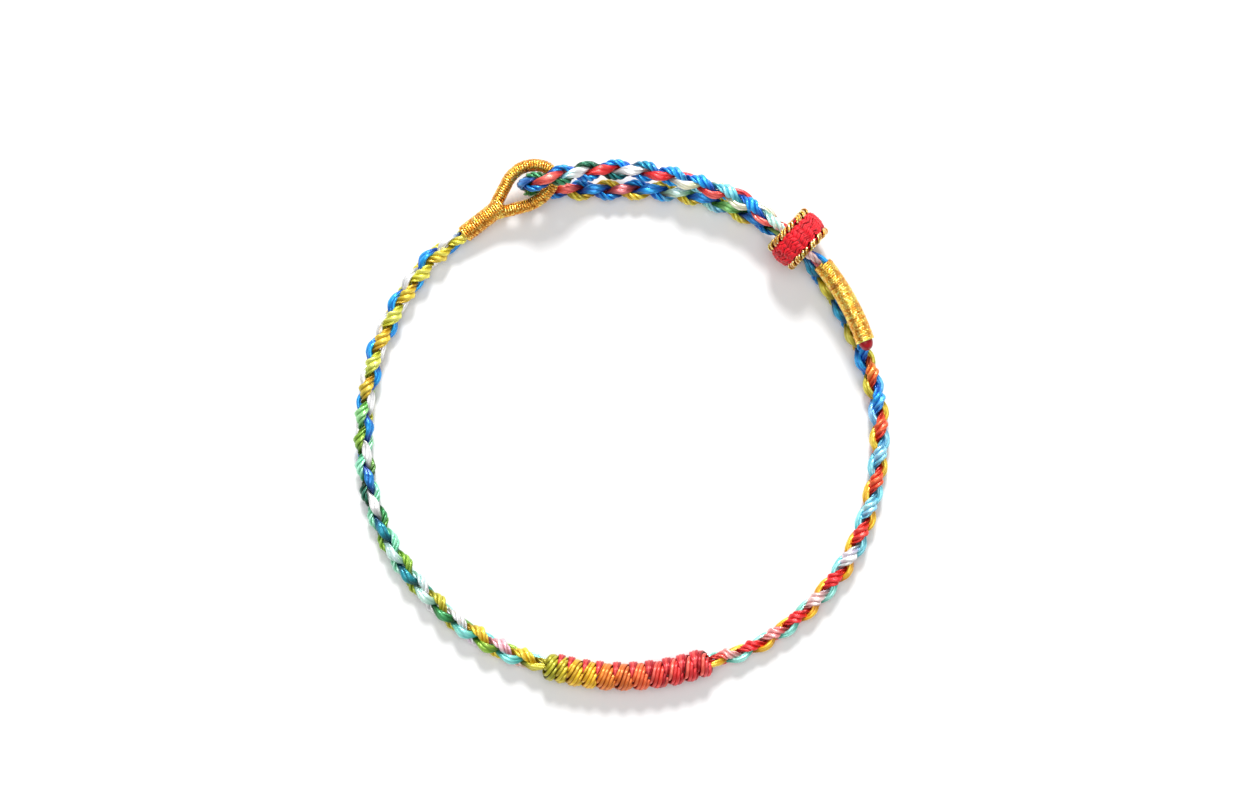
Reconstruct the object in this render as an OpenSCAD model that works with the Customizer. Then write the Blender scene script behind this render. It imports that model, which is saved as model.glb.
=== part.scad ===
// Adjustable braided cord bracelet, lying flat.
// One four-strand round braid starts in the neck of a gold-wrapped loop, runs once round the ring
// under a wound bar, passes through a sliding bead, turns back through the loop's eye and ends in a
// gold-wrapped tip after a second pass through the bead.
// Millimetres. The floor is z = 0, and the Z axis goes up through the middle of the wrist opening.

/* [Ring] */
// Radius of the ring that the cord's route is measured from
ring_r = 29.4; // [29:0.1:31]

/* [Cord] */
// Width of the slack braid over its widest floats
cord_w = 2.6; // [2.4:0.05:2.6]
// Length of slack cord in which a strand goes once round the braid
braid_turn = 6; // [5.8:0.1:6.6]

/* [Wound bar] */
// Where the bar begins, as an angle round the ring
bar_from = 252.3; // [250:0.1:254]
// Where the bar ends, as an angle round the ring
bar_to = 290.3; // [288:0.1:292]
// Number of wound ridges along the bar
bar_ridges = 11; // [9:1:13]
// Radius of a ridge at its crown
bar_r = 1.66; // [1.6:0.01:1.8]

/* [Gold loop] */
// Radius of the wrapped neck that holds the cord's first end
neck_r = 1.05; // [1:0.01:1.15]
// Length of the neck up to the fork
neck_len = 4.9; // [4.7:0.1:5.1]
// Radius of the wrapped cord of the loop's arms
arm_r = 0.74; // [0.65:0.01:0.76]
// Slope of the loop, whose tip rides over the lower cord
loop_rise = 10; // [9.5:0.1:10.5]

/* [Sliding bead] */
// Where the bead sits, as an angle round the ring
bead_at = 46.6; // [46:0.1:47]
// Radius of the bead's red belt
belt_r = 3.42; // [3.37:0.01:3.47]
// Length of the belt along the cords
belt_len = 2.36; // [2.2:0.01:2.36]
// Length of the whole bead along the cords
bead_len = 3.95; // [3.85:0.05:4.05]
// Radius of a gold rim's section
rim_r = 0.34; // [0.3:0.01:0.34]

/* [Gold tip] */
// Where the wrapped tip begins, beside the bead, as an angle round the ring
tip_from = 38.8; // [38.6:0.1:39.1]
// Where the wrapped tip ends, as an angle round the ring
tip_to = 19.2; // [18:0.1:20]
// Radius of the wrapped tip
tip_r = 1.12; // [1.05:0.01:1.14]
// Height of the tip's middle line, as it lies on the ring's cord
tip_z = 3.95; // [3.93:0.01:4.1]

/* [Hidden] */
$fn = 48;

// Farthest corner of a strand from the cord's middle line, as a share of cord_w
reach = 0.53;
// Height at which the slack cord's middle line lies on the floor
lie = reach * cord_w;
// Tightness of the cord inside the neck, the bar, the bead and the tip
in_neck = 0.6;
in_bar = 0.73;
in_bead = 0.62;
in_tip = 0.6;
// Height of the bar's middle line
bar_z = lie + 0.35;
// Clearance between a cord and the bore that holds it
play = 0.08;

// The two cords in the bead lie one above the other, leaning outwards, on the bead's inner side
bead_gap = 2 * reach * cord_w * in_bead + play;
bead_lean = 15;
bead_shift = -0.58;
bead_out = bead_gap / 2 * sin(bead_lean);
bead_up = bead_gap / 2 * cos(bead_lean);
low_z = belt_r - bead_up;
high_z = belt_r + bead_up;
low_out = bead_shift - bead_out - 0.1;
high_out = bead_shift + bead_out - 0.1;
// The bead's bore is straight, so its ends lie farther out from the ring's middle than its own middle
bore_sag = 0.09;

// The cord's route. Columns: angle round the ring, distance outside ring_r, height, tightness, roll,
// and width as a share of cord_w. A tight cord has longer turns, so tightness is their number.
ROUTE = [
    [127.2, -0.9, lie + 0.2, in_neck, 50, in_neck],
    [129.5, -0.9, lie, in_neck, 50, in_neck],
    [132.0, -0.8, lie, 0.85, 50, 0.85],
    [138.0, -0.4, lie, 1, 54, 1],
    [150.0, -0.2, lie, 1, 62, 1],
    [162.0, 0.0, lie, 1, 80, 1],
    [174.0, 0.1, lie, 1, 110, 0.97],
    [186.0, 0.38, 0.92 * lie, 1, 145, 0.92],
    [198.0, 0.62, 0.88 * lie, 1, 172, 0.88],
    [210.0, 0.58, 0.92 * lie, 1, 200, 0.92],
    [222.0, 0.3, lie, 1, 214, 0.95],
    [234.0, 0.1, lie, 1, 220, 0.98],
    [246.0, -0.2, lie, 1, 226, 1],
    [249.4, -0.4, lie + 0.1, 0.92, 228, 0.92],
    [252.0, -0.5, bar_z, in_bar, 229, in_bar],
    [255.0, -0.5, bar_z, in_bar, 230, in_bar],
    [271.5, -0.5, bar_z, in_bar, 236, in_bar],
    [288.0, -0.5, bar_z, in_bar, 240, in_bar],
    [291.1, -0.5, bar_z, in_bar, 241, in_bar],
    [293.7, -0.2, 0.84 * lie + 0.1, 0.92, 242, 0.84],
    [297.0, 0.1, 0.84 * lie, 0.96, 244, 0.84],
    [306.0, 0.45, 0.84 * lie, 0.96, 249, 0.84],
    [318.0, 0.7, 0.9 * lie, 0.96, 258, 0.9],
    [330.0, 0.8, lie, 0.96, 269, 0.98],
    [342.0, 0.5, lie, 0.96, 276, 0.96],
    [354.0, 0.3, lie, 0.96, 282, 0.96],
    [366.0, 0.0, lie, 0.96, 287, 0.96],
    [374.0, -0.4, lie, 0.96, 290, 0.96],
    [382.0, -0.7, lie, 0.96, 298, 0.96],
    [390.0, -0.8, lie, 0.96, 305, 0.96],
    [396.5, -0.8, lie, 0.95, 315, 0.95],
    [399.8, -0.85, lie + 0.45, 0.84, 319, 0.84],
    [402.6, low_out + bore_sag, low_z - 0.1, in_bead, 325, in_bead],
    [406.6, low_out, low_z, in_bead, 330, in_bead],
    [410.6, low_out + bore_sag, low_z - 0.1, in_bead, 337, in_bead],
    [414.5, -1.05, lie + 0.5, 0.82, 343, 0.82],
    [420.0, -1.3, lie, 0.92, 352, 0.92],
    [426.0, -1.5, lie, 0.92, 355, 0.92],
    [432.0, -1.7, lie, 0.98, 358, 0.94],
    [438.0, -2.0, lie, 0.98, 360, 0.94],
    [444.0, -2.2, lie, 0.92, 362, 0.92],
    [450.0, -2.4, lie, 0.92, 364, 0.92],
    [456.0, -2.2, lie, 0.96, 366, 0.92],
    [462.0, -1.8, lie, 0.97, 368, 0.92],
    [465.0, -1.3, lie, 0.96, 369, 0.92],
    [468.1, -0.7, lie, 0.95, 370, 0.92],
    [470.8, -0.1, 2.0, 0.93, 373, 0.9],
    [471.7, 0.2, 3.5, 0.9, 374, 0.86],
    [470.6, 0.2, 5.0, 0.9, 375, 0.86],
    [467.7, -0.1, 5.6, 0.9, 376, 0.86],
    [464.6, -0.1, 5.35, 0.92, 378, 0.9],
    [461.0, -0.1, 4.3, 0.88, 380, 0.92],
    [457.0, -0.1, 3.2, 0.86, 382, 0.92],
    [453.0, -0.1, 2.5, 0.86, 384, 0.92],
    [448.0, -0.1, 2.44, 0.86, 394, 0.92],
    [444.0, -0.2, 2.9, 0.92, 404, 0.92],
    [438.0, -0.4, 3.45, 0.92, 419, 0.92],
    [432.0, -0.5, 3.72, 0.92, 433, 0.92],
    [426.0, -0.3, 3.66, 0.92, 448, 0.92],
    [420.0, -0.25, 3.7, 0.92, 463, 0.92],
    [414.5, -0.4, high_z, 0.82, 474, 0.82],
    [410.6, high_out + bore_sag, high_z, in_bead, 480, in_bead],
    [406.6, high_out, high_z, in_bead, 482, in_bead],
    [402.6, high_out + bore_sag, high_z, in_bead, 484, in_bead],
    [399.2, 0.0, tip_z, in_tip, 486, in_tip],
    [394.8, 0.0, tip_z, in_tip, 488, in_tip]
];

// Share of cord_w for each measure of the braid as a strand passes over, between and under.
// The strand is flat where it passes over, flatter where it passes under, and round between.
float_out = [0.366, 0.438, 0.41];
float_side = [0.059, 0.059, 0.126];
strand_thick = [0.28, 0.295, 0.122];
strand_wide = [0.63, 0.365, 0.515];
// Place of a right-hand strand in its turn at the cord's first end
first_phase = -45;
// How far a strand's flat side turns ahead of its place between two crossings
strand_tilt = 11;
// Corners of a strand's section, and sections in each turn of the braid
corners = 6;
rings_per_turn = 8;
// Pieces that each stretch between two route points is measured in
route_steps = 10;

// The route's points, and the curve through them
function at_angle(a, r, z) = [r * cos(a), r * sin(a), z];
function spot(i) = at_angle(ROUTE[i][0], ring_r + ROUTE[i][1], ROUTE[i][2]);
spots = [for (i = [0:len(ROUTE) - 1]) spot(i)];
last = len(spots) - 1;
function gap(i) = norm(spots[i + 1] - spots[i]);
function slope(i) = (spots[i + 1] - spots[i]) / gap(i);
function heading(i) =
    i == 0 ? slope(0) :
    i == last ? slope(last - 1) :
    (slope(i - 1) * gap(i) + slope(i) * gap(i - 1)) / (gap(i - 1) + gap(i));
function bend(i, t) =
    spots[i] * (2 * pow(t, 3) - 3 * t * t + 1)
    + heading(i) * gap(i) * (pow(t, 3) - 2 * t * t + t)
    + spots[i + 1] * (3 * t * t - 2 * pow(t, 3))
    + heading(i + 1) * gap(i) * (pow(t, 3) - t * t);
function ease(a, b, t) = a + (b - a) * t * t * (3 - 2 * t);
// A row of the measured route: place, tightness, roll and width
function measured(i, t) = [
    bend(i, t),
    ease(ROUTE[i][3], ROUTE[i + 1][3], t),
    ROUTE[i][4] + (ROUTE[i + 1][4] - ROUTE[i][4]) * t,
    ease(ROUTE[i][5], ROUTE[i + 1][5], t)
];
path = [
    for (i = [0:last - 1], k = [0:route_steps - 1]) measured(i, k / route_steps),
    measured(last - 1, 1)
];
// Length of cord up to each row of the path
run = [
    for (i = 0, s = 0; i < len(path);
        i = i + 1, s = i < len(path) ? s + norm(path[i][0] - path[i - 1][0]) : s) s
];
cord_len = run[len(run) - 1];
// Turns of the braid up to each row, as a cord that is pulled tight has longer turns
turns = [
    for (i = 0, n = 0; i < len(path);
        i = i + 1, n = i < len(path) ?
            n + (run[i] - run[i - 1]) * (path[i][1] + path[i - 1][1]) / 2 / braid_turn : n) n
];
cord_turns = turns[len(turns) - 1];

function table_of(values) = [for (i = [0:len(path) - 1]) [run[i], values[i]]];
along_x = table_of([for (p = path) p[0][0]]);
along_y = table_of([for (p = path) p[0][1]]);
along_z = table_of([for (p = path) p[0][2]]);
along_roll = table_of([for (p = path) p[2]]);
along_width = table_of([for (p = path) p[3]]);
function middle(s) = [lookup(s, along_x), lookup(s, along_y), lookup(s, along_z)];
function unit(v) = v / norm(v);
function forward(s) = unit(middle(min(s + 0.15, cord_len)) - middle(max(s - 0.15, 0)));
function square_to(v, axis) = unit(v - axis * (v * axis));

// Sections stand a fixed share of a turn apart, and their sideways direction is carried along
rings = floor(cord_turns * rings_per_turn);
run_at = [for (i = [0:len(path) - 1]) [turns[i], run[i]]];
function station(i) = lookup(i / rings_per_turn, run_at);
ahead = [for (i = [0:rings]) forward(station(i))];
sideways = [
    for (i = 0, side = square_to(cross([0, 0, 1], ahead[0]), ahead[0]); i <= rings;
        i = i + 1, side = i <= rings ? square_to(side, ahead[i]) : side) side
];

// A measure that has one value over, one between and one under the other strands
function crossing(m, phase) =
    m[0] * (1 + 2 * cos(2 * phase) + cos(4 * phase)) / 4
    + m[1] * (1 - cos(4 * phase)) / 2
    + m[2] * (1 - 2 * cos(2 * phase) + cos(4 * phase)) / 4;

// A corner of a right-hand strand's section, in shares of the cord's width
function corner(phase, turn) =
    let (
        flat = phase + strand_tilt * sin(2 * phase),
        a = cos(turn) * crossing(strand_thick, phase) / 2,
        b = sin(turn) * crossing(strand_wide, phase) / 2
    )
    [
        crossing(float_out, phase) * cos(phase) + a * cos(flat) - b * sin(flat),
        crossing(float_side, phase) * sin(phase) + a * sin(flat) + b * cos(flat)
    ];

// Corners creep back round the section, so that two of them lie on its wide tips at each crossing
function creep(phase) = 90 - 4 * phase / 3;

// Section i of a strand. A left-hand strand mirrors a right-hand one that is a quarter turn ahead
function section(i, left, far) =
    let (
        phase = first_phase + 360 * i / rings_per_turn + (left ? 90 : 0),
        s = station(i),
        width = cord_w * lookup(s, along_width) * (far ? -1 : 1),
        roll = lookup(s, along_roll),
        up = cross(ahead[i], sideways[i]),
        across = sideways[i] * cos(roll) + up * sin(roll),
        outward = up * cos(roll) - sideways[i] * sin(roll)
    )
    [
        for (k = [0:corners - 1])
            let (
                turn = creep(phase) + 360 / corners * (left ? -k : k),
                c = corner(phase, turn)
            )
            middle(s) + width * (across * c[left ? 1 : 0] + outward * c[left ? 0 : 1])
    ];

// Closed skin over rings of points, two triangles to each side
module skin(loops) {
    n = len(loops[0]);
    top = (len(loops) - 1) * n;
    sides = [
        for (i = [0:len(loops) - 2], k = [0:n - 1])
            let (a = i * n + k, b = i * n + (k + 1) % n)
            each [[a, a + n, b], [b, a + n, b + n]]
    ];
    first_end = [for (k = [0:n - 1]) k];
    last_end = [for (k = [n - 1:-1:0]) top + k];
    polyhedron([for (loop = loops) each loop], [each sides, first_end, last_end]);
}

module strand(left, far) {
    skin([for (i = [0:rings]) section(i, left, far)]);
}

// Strands 1 and 2 twist to the right, strands 3 and 4 to the left
module strand_1() { color("goldenrod") strand(false, false); }
module strand_2() { color("mediumseagreen") strand(false, true); }
module strand_3() { color("royalblue") strand(true, false); }
module strand_4() { color("aliceblue") strand(true, true); }

// Part of a round rod bent round the Z axis
module bent_rod(r, bend_r, from, to) {
    rotate([0, 0, min(from, to)])
        rotate_extrude(angle = abs(to - from))
            translate([bend_r, 0]) circle(r);
}

// Wound bar: a row of ridges, cut square at both ends and bored for the braid
bar_bend = ring_r - 0.5;
bar_pitch = (bar_to - bar_from) / bar_ridges;
bar_bore = reach * cord_w * in_bar + play;

module wound_bar() {
    color("darkorange")
        difference() {
            intersection() {
                union() {
                    for (i = [0:bar_ridges - 1])
                        let (a = bar_from + (i + 0.5) * bar_pitch)
                            translate(at_angle(a, bar_bend, bar_z)) rotate([90, 0, a]) sphere(bar_r);
                }
                rotate([0, 0, bar_from])
                    rotate_extrude(angle = bar_to - bar_from)
                        translate([bar_bend - 2 * bar_r, bar_z - 2 * bar_r]) square(4 * bar_r);
            }
            translate([0, 0, bar_z]) bent_rod(bar_bore, bar_bend, bar_from - 1, bar_to + 1);
        }
}

// Gold loop, drawn flat from its neck's mouth along X and then tipped up from the floor
mouth_at = 129.4;
mouth_out = -0.95;
neck_points = 37;
neck_bore = reach * cord_w * in_neck + play;
bore_depth = 2.4;
upper_lean = 25;
lower_lean = -23;
shoulder_r = 3.6;
shoulder_turn = 80;
tip_bend_r = 1.5;
tip_turn = 102;
belly_r = 5;
upper_start = [3.9, 0.02];
upper_len = 4.08;
lower_len = 4.1;
// Rounds that close the joints between the arms' stretches, a little proud of them
joint_proud = 0.03;

// Rods that turn to the right, one after the other, from a point and a heading
module arm_bend(p, head, r, turn) {
    translate([p[0] + r * sin(head), p[1] - r * cos(head), 0])
        bent_rod(arm_r, r, head + 90 - turn, head + 90);
}
function after_bend(p, head, r, turn) = p + r * [
    sin(head) - sin(head - turn), cos(head - turn) - cos(head)
];
shoulder = upper_start + upper_len * [cos(upper_lean), sin(upper_lean)];
far_bend = after_bend(shoulder, upper_lean, shoulder_r, shoulder_turn);
belly = after_bend(far_bend, upper_lean - shoulder_turn, tip_bend_r, tip_turn);
belly_head = upper_lean - shoulder_turn - tip_turn;
belly_turn = belly_head + 180 - lower_lean;
lower_end = after_bend(belly, belly_head, belly_r, belly_turn);

module gold_loop() {
    color("gold")
        translate(at_angle(mouth_at, ring_r + mouth_out, lie))
            rotate([0, -loop_rise, neck_points])
                difference() {
                    union() {
                        rotate([0, 90, 0]) cylinder(neck_len, r = neck_r);
                        translate(concat(upper_start, 0))
                            rotate([0, 90, upper_lean]) cylinder(upper_len, r = arm_r);
                        arm_bend(shoulder, upper_lean, shoulder_r, shoulder_turn);
                        arm_bend(far_bend, upper_lean - shoulder_turn, tip_bend_r, tip_turn);
                        arm_bend(belly, belly_head, belly_r, belly_turn);
                        for (p = [shoulder, far_bend, belly, lower_end])
                            translate(concat(p, 0)) sphere(arm_r + joint_proud);
                        translate(concat(lower_end, 0))
                            rotate([0, 90, 180 + lower_lean]) cylinder(lower_len, r = arm_r);
                    }
                    translate([-1, 0, 0]) rotate([0, 90, 0]) cylinder(1 + bore_depth, r = neck_bore);
                }
}

// Sliding bead. Its own axis runs along Z here, and along the two cords once placed
hub_r = 2.3;
rim_bend = hub_r + 0.05 + rim_r;
rim_at = belt_len / 2 + 0.03 + rim_r;
belt_round = 0.5;
belt_shoulder = 0.3 * belt_round;
slot_r = reach * cord_w * in_bead + play;

module place_bead() {
    translate(at_angle(bead_at, ring_r - 0.1, belt_r))
        rotate([0, 0, bead_at])
            rotate([90, 0, 0])
                children();
}

module cord_slot() {
    translate([bead_shift, 0, 0]) rotate([0, 0, -bead_lean])
        union() {
            translate([-slot_r, -bead_gap / 2, -bead_len]) cube([2 * slot_r, bead_gap, 2 * bead_len]);
            for (side = [-1, 1])
                translate([0, side * bead_gap / 2, -bead_len]) cylinder(2 * bead_len, r = slot_r);
        }
}

module slider_band() {
    half = belt_len / 2;
    color("crimson")
        place_bead()
            difference() {
                rotate_extrude()
                    polygon([
                        [0, -bead_len / 2], [hub_r, -bead_len / 2], [hub_r, -half],
                        [belt_r - belt_round, -half], [belt_r - belt_shoulder, -half + belt_shoulder],
                        [belt_r, -half + belt_round], [belt_r, half - belt_round],
                        [belt_r - belt_shoulder, half - belt_shoulder], [belt_r - belt_round, half],
                        [hub_r, half], [hub_r, bead_len / 2], [0, bead_len / 2]
                    ]);
                cord_slot();
            }
}

module slider_rim(side) {
    color("gold")
        place_bead()
            translate([0, 0, side * rim_at])
                rotate_extrude() translate([rim_bend, 0]) circle(rim_r);
}
module slider_rim_loop_side() { slider_rim(-1); }
module slider_rim_tip_side() { slider_rim(1); }

// Gold tip, wrapped over the cord's last end, and its red cap
tip_bore = reach * cord_w * in_tip + play;
tip_bore_turn = 5.2;
cap_r = 0.84;
cap_sunk = 0.2;

module gold_tip() {
    color("gold")
        translate([0, 0, tip_z])
            difference() {
                bent_rod(tip_r, ring_r, tip_to, tip_from);
                bent_rod(tip_bore, ring_r, tip_from - tip_bore_turn, tip_from + 1);
            }
}

module tip_cap() {
    color("darkred")
        rotate([0, 0, tip_to])
            translate([ring_r, 0, tip_z])
                rotate([90, 0, 0])
                    rotate_extrude()
                        intersection() {
                            translate([0, cap_sunk]) circle(cap_r);
                            translate([0, play]) square(2 * cap_r);
                        }
}

strand_1();
strand_2();
strand_3();
strand_4();
wound_bar();
gold_loop();
slider_band();
slider_rim_loop_side();
slider_rim_tip_side();
gold_tip();
tip_cap();
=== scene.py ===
"""Looks for the braided cord bracelet.

Lengths are in millimetres, in the part's own frame, and become metres as a mesh is made. The height of a
bump, the camera's clipping, the floor and the lights are given in metres.
"""
import math

import bpy
import numpy as np
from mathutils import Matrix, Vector


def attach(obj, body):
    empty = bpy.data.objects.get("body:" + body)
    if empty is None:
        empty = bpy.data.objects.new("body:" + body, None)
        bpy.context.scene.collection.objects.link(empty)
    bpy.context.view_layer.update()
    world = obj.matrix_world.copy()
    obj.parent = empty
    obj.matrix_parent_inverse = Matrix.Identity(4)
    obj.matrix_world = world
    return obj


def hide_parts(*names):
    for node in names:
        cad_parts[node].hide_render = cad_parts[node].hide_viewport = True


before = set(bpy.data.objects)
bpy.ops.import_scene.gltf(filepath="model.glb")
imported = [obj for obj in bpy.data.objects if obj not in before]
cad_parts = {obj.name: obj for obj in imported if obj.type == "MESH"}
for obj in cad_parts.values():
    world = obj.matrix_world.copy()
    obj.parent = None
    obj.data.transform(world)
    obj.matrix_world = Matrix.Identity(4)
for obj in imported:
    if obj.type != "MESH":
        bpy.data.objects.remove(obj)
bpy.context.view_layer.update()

TAU = 2 * math.pi
MM = 0.001
UP = np.array([0, 0, 1.0])

# The ring that the cord's route is measured from, and the braid. Reach is a strand's farthest corner from
# the cord's middle line, as a share of cord_w. Lie is the height of that line where the cord lies slack.
ring_r = 29.4
cord_w = 2.6
braid_turn = 6.0
reach = 0.53
lie = reach * cord_w

# Tightness of the cord inside the neck, the bar, the bead and the tip, and its width there as a share of
# cord_w
in_neck, in_bar, in_bead, in_tip = 0.6, 0.73, 0.62, 0.6

# Wound bar, gold loop and gold tip. The loop's rise and the places along the ring are in degrees.
bar_from, bar_r = 252.3, 1.66
bar_bend, bar_z = ring_r - 0.5, lie + 0.35
neck_r, arm_r, loop_rise = 1.05, 0.74, 10
tip_from, tip_to, tip_r, tip_z = 38.8, 19.2, 1.12, 3.95

# Sliding bead, whose axis lies a little inside ring_r
bead_at, bead_in = 46.6, 0.1
belt_r, belt_len = 3.42, 2.36

# The two cords in the bead lie one above the other, leaning outwards, on the bead's inner side
cord_play = 0.08
bead_gap = 2 * reach * cord_w * in_bead + cord_play
bead_lean = math.radians(15)
bead_shift = -0.58
bead_out = bead_gap / 2 * math.sin(bead_lean)
bead_up = bead_gap / 2 * math.cos(bead_lean)
low_z = belt_r - bead_up
high_z = belt_r + bead_up
low_out = bead_shift - bead_out - bead_in
high_out = bead_shift + bead_out - bead_in

# The bead's bore is straight, so the cords lie farther out from the ring's middle at its ends
bore_sag = 0.09

# The cord's route. Columns: angle round the ring, distance outside ring_r, height, tightness, roll,
# and width as a share of cord_w
ROUTE = [
    (127.2, -0.9, lie + 0.2, in_neck, 50, in_neck),
    (129.5, -0.9, lie, in_neck, 50, in_neck),
    (132.0, -0.8, lie, 0.85, 50, 0.85),
    (138.0, -0.4, lie, 1, 54, 1),
    (150.0, -0.2, lie, 1, 62, 1),
    (162.0, 0.0, lie, 1, 80, 1),
    (174.0, 0.1, lie, 1, 110, 0.97),
    (186.0, 0.38, 0.92 * lie, 1, 145, 0.92),
    (198.0, 0.62, 0.88 * lie, 1, 172, 0.88),
    (210.0, 0.58, 0.92 * lie, 1, 200, 0.92),
    (222.0, 0.3, lie, 1, 214, 0.95),
    (234.0, 0.1, lie, 1, 220, 0.98),
    (246.0, -0.2, lie, 1, 226, 1),
    (249.4, -0.4, lie + 0.1, 0.92, 228, 0.92),
    (252.0, -0.5, bar_z, in_bar, 229, in_bar),
    (255.0, -0.5, bar_z, in_bar, 230, in_bar),
    (271.5, -0.5, bar_z, in_bar, 236, in_bar),
    (288.0, -0.5, bar_z, in_bar, 240, in_bar),
    (291.1, -0.5, bar_z, in_bar, 241, in_bar),
    (293.7, -0.2, 0.84 * lie + 0.1, 0.92, 242, 0.84),
    (297.0, 0.1, 0.84 * lie, 0.96, 244, 0.84),
    (306.0, 0.45, 0.84 * lie, 0.96, 249, 0.84),
    (318.0, 0.7, 0.9 * lie, 0.96, 258, 0.9),
    (330.0, 0.8, lie, 0.96, 269, 0.98),
    (342.0, 0.5, lie, 0.96, 276, 0.96),
    (354.0, 0.3, lie, 0.96, 282, 0.96),
    (366.0, 0.0, lie, 0.96, 287, 0.96),
    (374.0, -0.4, lie, 0.96, 290, 0.96),
    (382.0, -0.7, lie, 0.96, 298, 0.96),
    (390.0, -0.8, lie, 0.96, 305, 0.96),
    (396.5, -0.8, lie, 0.95, 315, 0.95),
    (399.8, -0.85, lie + 0.45, 0.84, 319, 0.84),
    (402.6, low_out + bore_sag, low_z - 0.1, in_bead, 325, in_bead),
    (406.6, low_out, low_z, in_bead, 330, in_bead),
    (410.6, low_out + bore_sag, low_z - 0.1, in_bead, 337, in_bead),
    (414.5, -1.05, lie + 0.5, 0.82, 343, 0.82),
    (420.0, -1.3, lie, 0.92, 352, 0.92),
    (426.0, -1.5, lie, 0.92, 355, 0.92),
    (432.0, -1.7, lie, 0.98, 358, 0.94),
    (438.0, -2.0, lie, 0.98, 360, 0.94),
    (444.0, -2.2, lie, 0.92, 362, 0.92),
    (450.0, -2.4, lie, 0.92, 364, 0.92),
    (456.0, -2.2, lie, 0.96, 366, 0.92),
    (462.0, -1.8, lie, 0.97, 368, 0.92),
    (465.0, -1.3, lie, 0.96, 369, 0.92),
    (468.1, -0.7, lie, 0.95, 370, 0.92),
    (470.8, -0.1, 2.0, 0.93, 373, 0.9),
    (471.7, 0.2, 3.5, 0.9, 374, 0.86),
    (470.6, 0.2, 5.0, 0.9, 375, 0.86),
    (467.7, -0.1, 5.6, 0.9, 376, 0.86),
    (464.6, -0.1, 5.35, 0.92, 378, 0.9),
    (461.0, -0.1, 4.3, 0.88, 380, 0.92),
    (457.0, -0.1, 3.2, 0.86, 382, 0.92),
    (453.0, -0.1, 2.5, 0.86, 384, 0.92),
    (448.0, -0.1, 2.44, 0.86, 394, 0.92),
    (444.0, -0.2, 2.9, 0.92, 404, 0.92),
    (438.0, -0.4, 3.45, 0.92, 419, 0.92),
    (432.0, -0.5, 3.72, 0.92, 433, 0.92),
    (426.0, -0.3, 3.66, 0.92, 448, 0.92),
    (420.0, -0.25, 3.7, 0.92, 463, 0.92),
    (414.5, -0.4, high_z, 0.82, 474, 0.82),
    (410.6, high_out + bore_sag, high_z, in_bead, 480, in_bead),
    (406.6, high_out, high_z, in_bead, 482, in_bead),
    (402.6, high_out + bore_sag, high_z, in_bead, 484, in_bead),
    (399.2, 0.0, tip_z, in_tip, 486, in_tip),
    (394.8, 0.0, tip_z, in_tip, 488, in_tip),
]

# Dye colours of the threads, as they look in plain light
DYES = {
    "gold": (232, 184, 60),
    "yellow": (232, 202, 84),
    "olive": (180, 172, 56),
    "lime": (208, 210, 100),
    "leaf": (136, 190, 112),
    "moss": (128, 166, 56),
    "green": (52, 136, 78),
    "pine": (12, 92, 74),
    "teal": (10, 124, 140),
    "mint": (184, 228, 204),
    "pale": (240, 242, 236),
    "cream": (236, 232, 190),
    "cyan": (124, 194, 206),
    "sky": (138, 192, 232),
    "blue": (18, 143, 210),
    "deep": (4, 108, 176),
    "lilac": (216, 212, 230),
    "dusk": (218, 170, 178),
    "spring": (146, 210, 180),
    "foam": (138, 202, 190),
    "aqua": (118, 194, 188),
    "blush": (234, 186, 184),
    "pink": (218, 118, 118),
    "rose": (172, 88, 92),
    "coral": (226, 94, 84),
    "red": (216, 40, 44),
    "orange": (232, 104, 40),
    "amber": (236, 166, 34),
    "flame": (226, 80, 42),
}

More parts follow.
